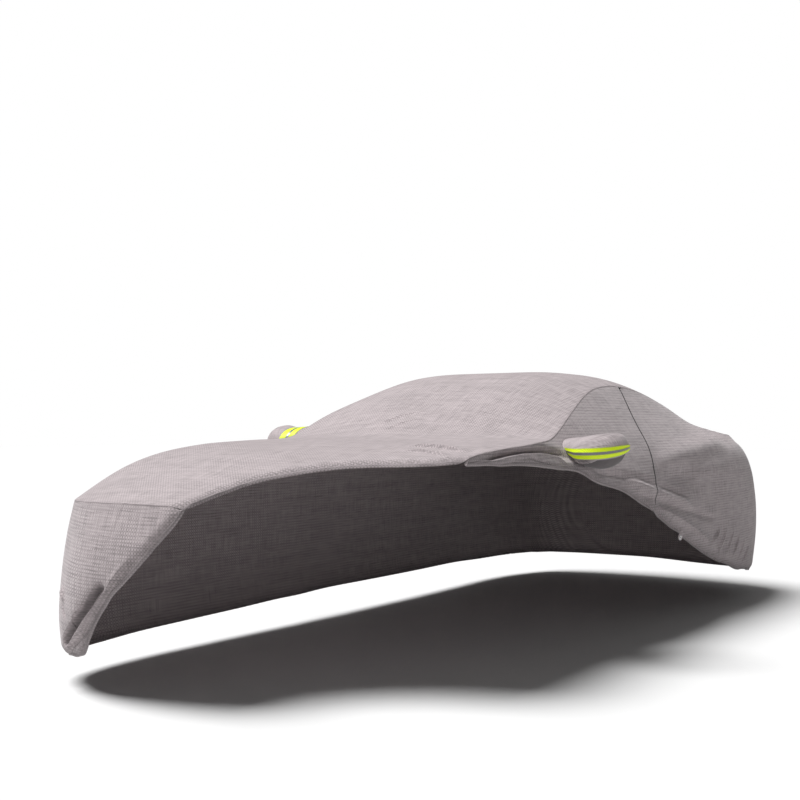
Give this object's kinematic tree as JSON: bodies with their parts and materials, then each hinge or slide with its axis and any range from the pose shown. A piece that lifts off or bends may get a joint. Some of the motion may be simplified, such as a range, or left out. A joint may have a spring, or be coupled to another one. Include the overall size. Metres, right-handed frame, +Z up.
{
  "type": "car cover",
  "caption": "Fitted fabric cover over the hollow shape of a coupe, a front corner pulled up so that the hem climbs over the bonnet and the side, with mirror pockets and a side zip.",
  "frame": {"origin": "inside of the cloth at the crown of the roof, where the cover is held up", "axes": "+X to the cover's left side, +Y from its nose to its tail, +Z up"},
  "size_m": [2.1843, 4.8979, 1.318],
  "materials": {
    "cloth": "matt grey polyester with a fine basket weave",
    "yellow_tape": "fluorescent yellow woven safety tape",
    "silver_strip": "grey reflective strip",
    "zip_tape": "black zip tape and coil",
    "metal": "nickel-plated eyelet"
  },
  "bodies": {
    "root": {"top_panel": "cloth", "side_panel_left_front": "cloth", "side_panel_left_rear": "cloth", "side_panel_right": "cloth", "tail_panel": "cloth", "nose_panel": "cloth", "mirror_pocket_left": "cloth", "mirror_pocket_right": "cloth", "tape_upper_left": "yellow_tape", "tape_lower_left": "yellow_tape", "strip_left": "silver_strip", "tape_inner_right": "yellow_tape", "tape_outer_right": "yellow_tape", "strip_right": "silver_strip", "zip_left": "zip_tape", "eyelet_tab": "cloth", "eyelet": "metal"}
  },
  "joints": []
}
